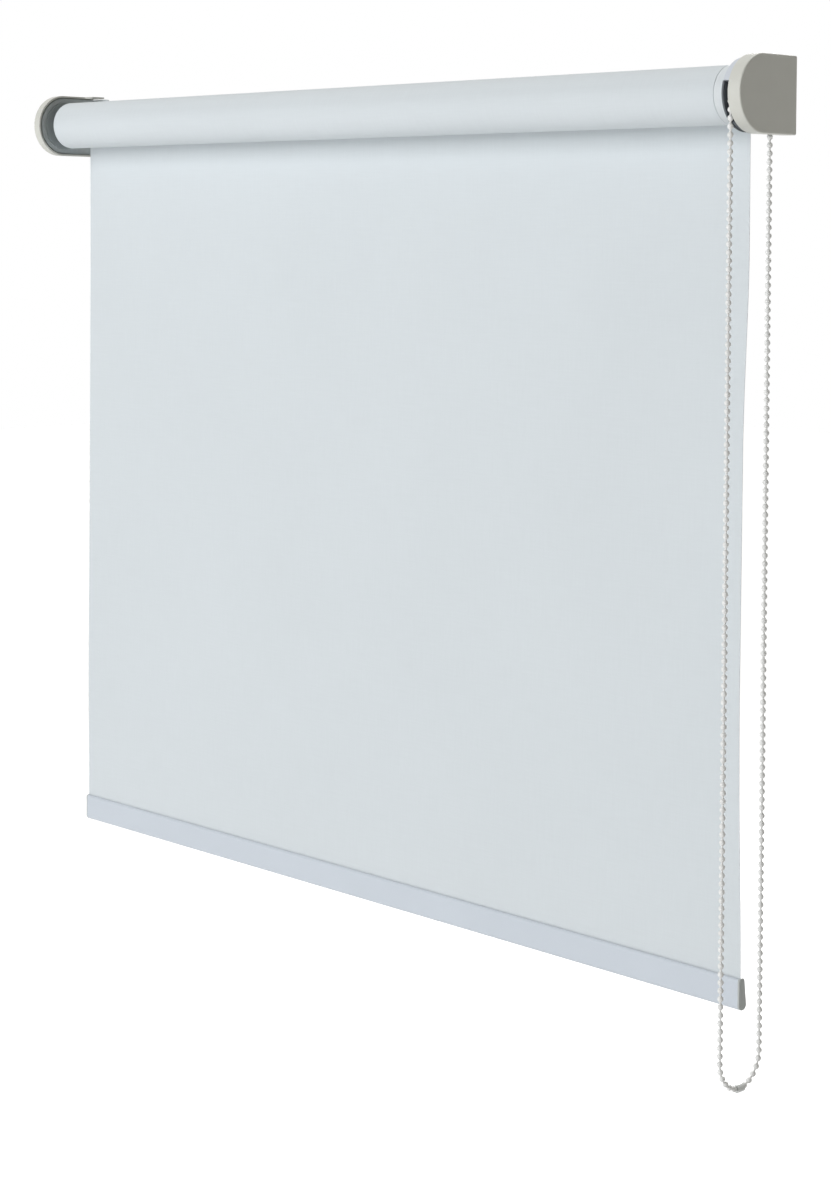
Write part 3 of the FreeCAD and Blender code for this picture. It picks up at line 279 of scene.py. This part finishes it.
CLOTH = woven("blackout_cloth", srgb(217, 223, 226))
WHITE_PLASTIC = moulded("white_plastic", srgb(211, 211, 203), 0.42)
GUARD_PLASTIC = moulded("guard_plastic", srgb(208, 213, 220), 0.45)
FLANGE_PLASTIC = moulded("flange_plastic", srgb(216, 221, 223), 0.5)
SOCKET_PLASTIC = moulded("socket_plastic", srgb(172, 180, 181), 0.5)
DARK_PLASTIC = moulded("dark_plastic", srgb(84, 89, 94), 0.5)
GREY_PLASTIC = moulded("grey_plastic", srgb(120, 126, 128), 0.45)
CAP_PLASTIC = moulded("cap_plastic", srgb(182, 186, 184), 0.45)
BEAD_PLASTIC = moulded("bead_plastic", srgb(240, 240, 238), 0.3, grain=1500, depth=0.00001)
CONNECTOR_PLASTIC = moulded(
    "connector_plastic", srgb(226, 228, 226), 0.2, grain=900, depth=0.00001,
)
BAR_COATING = powder_coat("bar_coating", srgb(204, 211, 219), 0.4)
BRACKET_PAINT = sheet_steel("bracket_paint", srgb(204, 210, 211), 0.45)
ZINC = bare_metal("zinc", srgb(205, 205, 200), 0.35, (1, 0.1, 0.1))
SPRING_STEEL = bare_metal("spring_steel", srgb(170, 172, 174), 0.3, (0.2, 1, 1))
ALUMINIUM = bare_metal("drawn_aluminium", srgb(210, 211, 213), 0.33, (0.03, 1, 1))
TAPE = moulded("tape", srgb(205, 198, 176), 0.6)
CORD = moulded("polyester_cord", srgb(238, 238, 236), 0.7, grain=3500, depth=0.00006)

FINISHES = {
    "control_bracket": BRACKET_PAINT,
    "idle_bracket": BRACKET_PAINT,
    "control_cover": WHITE_PLASTIC,
    "idle_cover": WHITE_PLASTIC,
    "chain_guard": GUARD_PLASTIC,
    "hub_flange": FLANGE_PLASTIC,
    "clutch_core": DARK_PLASTIC,
    "clutch_housing": DARK_PLASTIC,
    "drive_hub": DARK_PLASTIC,
    "idle_plug": DARK_PLASTIC,
    "plug_cap": DARK_PLASTIC,
    "idle_socket": SOCKET_PLASTIC,
    "chain_wheel": GREY_PLASTIC,
    "idle_pin": GREY_PLASTIC,
    "core_bolt": ZINC,
    "hub_washer": ZINC,
    "hub_screw": ZINC,
    "roller_tube": ALUMINIUM,
    "fixing_tape": TAPE,
    "bottom_rail": BAR_COATING,
    "rail_cap_left": CAP_PLASTIC,
    "rail_cap_right": CAP_PLASTIC,
    "fabric_spline": CAP_PLASTIC,
    "chain_connector": CONNECTOR_PLASTIC,
}
for node_name, finish in FINISHES.items():
    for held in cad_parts[node_name].material_slots:
        held.material = finish.material


# Mesh helpers

def mesh_piece(name, points, faces, surface, body, sharp=35):
    """A piece from points and faces that rides on a body, or on none yet."""
    mesh = bpy.data.meshes.new(name)
    mesh.from_pydata([tuple(point) for point in points], [], faces)
    mesh.update()
    for polygon in mesh.polygons:
        polygon.use_smooth = True
    mesh.set_sharp_from_angle(angle=math.radians(sharp))
    mesh.materials.append(surface.material)
    made = bpy.data.objects.new(name, mesh)
    bpy.context.collection.objects.link(made)
    if body:
        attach(made, body)
    return made


def eased(value, start, end):
    """0 before start, 1 after end, smooth between."""
    share = min(1.0, max(0.0, (value - start) / (end - start)))
    return share * share * (3 - 2 * share)


def side_faces(base, spans, sides):
    """Faces round a row of rings of points, with none on either end."""
    faces = []
    for ring in range(spans):
        for side in range(sides):
            first = base + ring * sides + side
            second = base + ring * sides + (side + 1) % sides
            faces.append((first, second, second + sides, first + sides))
    return faces


def coil(name, node_name, wire, turns, body, sides=8, steps=20):
    """A helical spring about the roller's axis, as long and as wide as a node."""
    low, high = span(node_name)
    radius = high.z - wire
    points = []
    count = turns * steps
    reach = high.x - low.x - 2 * wire
    for step in range(count + 1):
        angle = 2 * math.pi * step / steps
        middle = Vector((low.x + wire + reach * step / count, AXIS_Y, 0))
        outward = Vector((0, math.cos(angle), math.sin(angle)))
        for side in range(sides):
            around = 2 * math.pi * side / sides
            offset = outward * math.cos(around) + Vector((1, 0, 0)) * math.sin(around)
            points.append(middle + outward * radius + offset * wire)
    faces = side_faces(0, count, sides)
    faces.append(tuple(range(sides)))
    faces.append(tuple(reversed(range(count * sides, (count + 1) * sides))))
    return mesh_piece(name, points, faces, SPRING_STEEL, body, 50)


# Bead chain on its cord

# The strands' places along Y from the axis, and the cord's control points in pairs of Y and Z.
LEFT_RUN, RIGHT_RUN = -PITCH_RADIUS, PITCH_RADIUS
CHAIN_ROUTE = [
    (LEFT_RUN, CHAIN_EXIT),
    (LEFT_RUN, -0.69042),
    (LEFT_RUN, -0.7095),
    (-0.0095, -0.723),
    (0.0095, -0.723),
    (RIGHT_RUN, -0.7095),
    (RIGHT_RUN, -0.69042),
    (RIGHT_RUN, CHAIN_EXIT),
]
# Over the wheel, where the line lies on the pockets' circle.
WHEEL_ROUTE = [
    (LEFT_RUN, CHAIN_EXIT),
    (LEFT_RUN, -0.0095),
    (LEFT_RUN, 0.0095),
    (-0.0095, PITCH_RADIUS),
    (0.0095, PITCH_RADIUS),
    (RIGHT_RUN, 0.0095),
    (RIGHT_RUN, -0.0095),
    (RIGHT_RUN, CHAIN_EXIT),
]


def cord_line(name, route, diameter):
    """A cord on a smooth line with the route's points as its control points."""
    line = bpy.data.curves.new(name, "CURVE")
    line.dimensions = "3D"
    line.bevel_depth = diameter / 2
    line.bevel_resolution = 3
    line.use_fill_caps = True
    line.resolution_u = 16
    spline = line.splines.new("NURBS")
    spline.points.add(len(route) - 1)
    for point, (across, up) in zip(spline.points, route):
        point.co = (CHAIN_X, AXIS_Y + across, up, 1)
    spline.order_u = 3
    spline.use_endpoint_u = True
    return line


def line_points(line):
    """Points read from a cord's line, in order."""
    bare = line.copy()
    bare.bevel_depth = 0
    bare.resolution_u = 64
    holder = bpy.data.objects.new("bare_line", bare)
    mesh = bpy.data.meshes.new_from_object(holder)
    points = [vertex.co.copy() for vertex in mesh.vertices]
    bpy.data.objects.remove(holder)
    bpy.data.meshes.remove(mesh)
    bpy.data.curves.remove(bare)
    return points


def places_along(points, spacing):
    """Places and headings about a spacing apart along points, an odd number of them."""
    lengths = [(after - before).length for before, after in zip(points, points[1:])]
    total = sum(lengths)
    count = 2 * round((total / spacing - 1) / 2) + 1
    found, walked, index = [], 0.0, 0
    for place in range(count):
        wanted = (place + 0.5) * total / count
        while walked + lengths[index] < wanted:
            walked += lengths[index]
            index += 1
        heading = (points[index + 1] - points[index]).normalized()
        found.append((points[index] + heading * (wanted - walked), heading))
    return found, total


# A bead's outline from end to end: distance along the cord and radius, in bead radii.
# Each bead has a small neck where it was moulded onto the cord.
BEAD_OUTLINE = [
    (-1.1, 0.36), (-1.0, 0.4), (-0.92, 0.46), (-0.83, 0.58), (-0.66, 0.76), (-0.42, 0.91),
    (-0.15, 0.99), (0.15, 0.99),
    (0.42, 0.91), (0.66, 0.76), (0.83, 0.58), (0.92, 0.46), (1.0, 0.4), (1.1, 0.36),
]


def bead_string(name, places, sides=14):
    """One mesh of all the beads."""
    points, faces = [], []
    for centre, heading in places:
        turn = heading.to_track_quat("Z", "Y").to_matrix()
        base = len(points)
        for along, radius in BEAD_OUTLINE:
            for side in range(sides):
                around = 2 * math.pi * side / sides
                local = Vector((radius * math.cos(around), radius * math.sin(around), along))
                points.append(centre + turn @ (local * BEAD_RADIUS))
        faces += side_faces(base, len(BEAD_OUTLINE) - 1, sides)
        last = base + (len(BEAD_OUTLINE) - 1) * sides
        faces.append(tuple(reversed(range(base, base + sides))))
        faces.append(tuple(range(last, last + sides)))
    return mesh_piece(name, points, faces, BEAD_PLASTIC, FIXED, 60)


def bead_chain(label, route, cord_node, beads_node):
    """A cord with its beads along a route, in place of two nodes, and the cord's length."""
    line = cord_line(label + "_cord", route, CORD_DIAMETER)
    line.materials.append(CORD.material)
    cord = bpy.data.objects.new(label + "_cord", line)
    bpy.context.collection.objects.link(cord)
    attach(cord, FIXED)
    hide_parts(cord_node)
    places, length = places_along(line_points(line), BEAD_PITCH)
    beads = bead_string(label + "_beads", places)
    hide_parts(beads_node)
    return cord, beads, length


hanging_cord, hanging_beads, chain_length = bead_chain(
    "hanging", CHAIN_ROUTE, "chain_cord", "chain_beads",
)
bead_chain("driven", WHEEL_ROUTE, "wheel_cord", "wheel_beads")


# Cloth

def lay_uv(piece, table):
    """A UV map in metres from a table of one (across, along) pair for each point."""
    layer = piece.data.uv_layers.new(name="cloth")
    for loop in piece.data.loops:
        layer.data[loop.index].uv = table[loop.vertex_index]


def wound_roll():
    """The cloth on the tube as one spiral strip, its layers a little uneven at the ends."""
    layers, steps = 6, 96
    filled = 0.94
    beyond, recess = 0.00018, 0.0004
    half = CLOTH_THICKNESS / 2 * filled
    outer = ROLL_RADIUS - half
    inner = outer - (layers - 1) * CLOTH_THICKNESS
    count = layers * steps
    points, table, faces = [], [], []
    walked = 0.0
    for step in range(count + 1):
        share = step / count
        angle = 2 * math.pi * (step - count) / steps
        radius = inner + (outer - inner) * min(1.0, share * layers / (layers - 1))
        drift = 0.00025 * math.sin(1.7 * step / steps) + 0.00012 * math.sin(4.1 * step / steps)
        settle = eased(1 - share, 0, 0.6 / layers)
        walked += 2 * math.pi * radius / steps
        outward = Vector((0, math.cos(angle), math.sin(angle)))
        for end in (-1, 1):
            for side in (-half, half):
                x = end * (HALF_CLOTH + beyond - recess * settle) + drift * settle
                points.append(Vector((x, AXIS_Y, 0)) + outward * (radius + side))
                table.append((x, walked))
    for step in range(count):
        now, after = step * 4, step * 4 + 4
        faces.append((now + 1, now + 3, after + 3, after + 1))
        faces.append((now, after, after + 2, now + 2))
        faces.append((now, now + 1, after + 1, after))
        faces.append((now + 2, after + 2, after + 3, now + 3))
    faces.append((0, 2, 3, 1))
    last = count * 4
    faces.append((last, last + 1, last + 3, last + 2))
    made = mesh_piece("cloth_roll", points, faces, CLOTH, ROLLER, 40)
    lay_uv(made, table)
    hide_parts("fabric_roll")


# Slow waves of the hanging cloth: height, length across, length down, and phase.
WAVES = [
    (0.0008, 0.37, 1.9, 0.9),
    (0.0005, 0.19, -1.3, 2.2),
    (0.0001, 0.9, 0.31, 0.0),
]
# How far the cloth's edges are drawn in at most.
LEFT_DRAW, RIGHT_DRAW = 0.0006, 0.0035


def ripple(x, z):
    """How far the hanging cloth stands out of its plane, in metres, towards the wall."""
    calm = eased(-z, 0.02, 0.16) * eased(z - BAR_TOP, 0.01, 0.14)
    wave = 0.0
    for height, across, down, phase in WAVES:
        wave += height * math.sin(2 * math.pi * (x / across + z / down) + phase)
    return calm * wave


def drawn_in(z):
    """Share of the greatest narrowing of the cloth at height z."""
    return eased(-z, 0.11, 0.26) * eased(z - BAR_TOP, -0.02, 0.22)


def hanging_cloth():
    """The cloth from the back of the roll, over its rear quarter, down into the bar's slot."""
    across, down, wrap = 72, 66, 10
    into_slot, wrapped, tuck = 0.0035, math.radians(32), 0.0008
    foot = BAR_TOP - into_slot
    rows = []
    for step in range(wrap):
        share = 1 - step / wrap
        angle = wrapped * share
        radius = CLOTH_MID_Y - AXIS_Y - tuck * eased(share, 0, 1)
        rows.append((AXIS_Y + radius * math.cos(angle), radius * math.sin(angle), angle))
    for step in range(down + 1):
        rows.append((CLOTH_MID_Y, foot * step / down, 0.0))
    points, weights, table = [], [], []
    for side in (-1, 1):
        walked = 0.0
        for index, (y, z, angle) in enumerate(rows):
            if index:
                walked += math.hypot(y - rows[index - 1][0], z - rows[index - 1][1])
            for column in range(across + 1):
                share = 2 * column / across - 1
                narrow = (RIGHT_DRAW if share > 0 else LEFT_DRAW) * drawn_in(z)
                x = share * HALF_CLOTH - math.copysign(narrow, share) * abs(share) ** 3
                out = ripple(x, z) if z < 0 else 0.0
                lift = side * CLOTH_THICKNESS / 2
                points.append(Vector((
                    x,
                    y + out + lift * math.cos(angle),
                    z + lift * math.sin(angle),
                )))
                weights.append(min(1.0, max(0.0, z / BAR_TOP)))
                table.append((x, walked))
    width, height = across + 1, len(rows)
    back = width * height
    faces = []
    for row in range(height - 1):
        for column in range(across):
            first = row * width + column
            faces.append((first, first + width, first + width + 1, first + 1))
            other = back + first
            faces.append((other, other + 1, other + width + 1, other + width))
        left, right = row * width, row * width + across
        faces.append((left, back + left, back + left + width, left + width))
        faces.append((right, right + width, back + right + width, back + right))
    for column in range(across):
        low = (height - 1) * width + column
        faces.append((column, column + 1, back + column + 1, back + column))
        faces.append((low, back + low, back + low + 1, low + 1))
    made = mesh_piece("hanging_cloth", points, faces, CLOTH, None, 50)
    lay_uv(made, table)
    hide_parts("fabric_drop")
    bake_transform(made)
    return made, walked


wound_roll()
hanging, hanging_length = hanging_cloth()


def hem_in_bar():
    """The cloth's hem round the rod in the bar's channel."""
    low, high = span("fabric_hem")
    outer = (high.y - low.y) / 2
    inner = outer - CLOTH_THICKNESS * 0.9
    level = low.z + outer
    start, sweep, ring = 100, 340, 20
    weave_step = 0.0004
    outline = []
    for step in range(ring + 1):
        outline.append((math.radians(start) + math.radians(sweep) * step / ring, outer))
    for step in range(ring + 1):
        outline.append((math.radians(start + sweep) - math.radians(sweep) * step / ring, inner))
    points, table = [], []
    for x in (-high.x, high.x):
        for order, (angle, radius) in enumerate(outline):
            points.append((
                x,
                CLOTH_MID_Y + radius * math.cos(angle),
                level + radius * math.sin(angle),
            ))
            table.append((x, order * weave_step))
    count = len(outline)
    faces = [tuple(range(count)), tuple(reversed(range(count, 2 * count)))]
    for step in range(count):
        following = (step + 1) % count
        faces.append((step, step + count, following + count, following))
    made = mesh_piece("cloth_hem", points, faces, CLOTH, BAR, 40)
    lay_uv(made, table)
    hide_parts("fabric_hem")


hem_in_bar()


# Springs

PIN_WIRE, PIN_TURNS = 0.0007, 7
GRIP_WIRE, GRIP_TURNS = 0.0005, 4

pin_coil = coil("pin_coil", "pin_spring", PIN_WIRE, PIN_TURNS, ROLLER)
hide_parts("pin_spring")
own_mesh(pin_coil)
for label in ("wrap_spring_inner", "wrap_spring_outer"):
    grip = coil(label + "_coil", label, GRIP_WIRE, GRIP_TURNS, WHEEL)
    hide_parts(label)


# Studio

COOL = (0.975, 0.993, 1.02)
LAMP_AIM = Vector((0, 0, -0.25))
FLOOR_LEVEL, FLOOR_REACH = -1.42, 12.0
# The floor glows more with its distance from the roller, to stay as white as the backdrop.
GLOW_NEAR, GLOW_FAR = 0.465, 0.62
NEAR, FAR = 1.45, 2.5


def lamp(name, kind, place, size, energy, colour=(1, 1, 1)):
    """A soft lamp at a place, or in its direction for light from far away.

    The size is the width of a near lamp in metres, or the spread of a far one in degrees.
    """
    light = bpy.data.lights.new(name, kind)
    if kind == "SUN":
        light.angle = math.radians(size)
    else:
        light.size = size
    light.energy = energy
    light.color = colour
    holder = bpy.data.objects.new(name, light)
    holder.location = place
    holder.rotation_mode = "QUATERNION"
    holder.rotation_quaternion = (Vector(place) - LAMP_AIM).to_track_quat("Z", "Y")
    bpy.context.collection.objects.link(holder)


lamp("key_lamp", "AREA", (-0.6, -3.65, 1.1), 2.2, 82, COOL)
lamp("fill_lamp", "AREA", (-0.4, -3.1, -0.75), 1.2, 14, COOL)
lamp("top_lamp", "SUN", (0.0, -0.05, 1.0), 30, 0.18)
lamp("back_lamp", "SUN", (-0.25, 0.55, 1.0), 11, 1.1)
lamp("rear_lamp", "AREA", (-1.8, 3.0, 0.6), 1.6, 50)


def seen_directly(tree):
    """1 for what the camera sees, also in a mirror or through clear plastic, 0 for other rays."""
    rays = tree.nodes.new("ShaderNodeLightPath")
    value = rays.outputs["Is Camera Ray"]
    for kind in ("Is Glossy Ray", "Is Transmission Ray"):
        value = combined(tree, "MAXIMUM", value, rays.outputs[kind])
    return value


def studio_world():
    """Pale even light all round, in front of a white backdrop."""
    world = bpy.data.worlds.new("studio")
    bpy.context.scene.world = world
    world.use_nodes = True
    nodes, links = world.node_tree.nodes, world.node_tree.links
    ambient = nodes["Background"]
    ambient.inputs["Color"].default_value = (1.0, 0.975, 0.9, 1)
    ambient.inputs["Strength"].default_value = 0.2
    backdrop = nodes.new("ShaderNodeBackground")
    backdrop.inputs["Color"].default_value = (1, 1, 1, 1)
    backdrop.inputs["Strength"].default_value = 1.0
    seen = nodes.new("ShaderNodeMixShader")
    links.new(seen_directly(world.node_tree), seen.inputs["Fac"])
    links.new(ambient.outputs["Background"], seen.inputs[1])
    links.new(backdrop.outputs["Background"], seen.inputs[2])
    links.new(seen.outputs["Shader"], nodes["World Output"].inputs["Surface"])


def studio_floor():
    """A pale floor, as white as the backdrop where no shadow falls."""
    paper = Surface("floor", (0.7, 0.7, 0.7, 1), 0.9, specular=0.0)
    distance = paper.node("ShaderNodeVectorMath", operation="LENGTH")
    paper.link(paper.space, distance.inputs[0])
    glow = paper.ranged(distance.outputs["Value"], GLOW_NEAR, GLOW_FAR, NEAR, FAR)
    lift = combined(paper.tree, "MULTIPLY", seen_directly(paper.tree), glow)
    paper.shader.inputs["Emission Color"].default_value = (1, 1, 1, 1)
    paper.link(lift, paper.shader.inputs["Emission Strength"])
    corners = [
        (FLOOR_REACH * x, FLOOR_REACH * y, FLOOR_LEVEL)
        for x, y in ((-1, -1), (1, -1), (1, 1), (-1, 1))
    ]
    mesh = bpy.data.meshes.new("floor")
    mesh.from_pydata(corners, [], [(0, 1, 2, 3)])
    mesh.materials.append(paper.material)
    floor = bpy.data.objects.new("floor", mesh)
    bpy.context.collection.objects.link(floor)


studio_world()
studio_floor()

bpy.context.scene.view_settings.view_transform = "Standard"
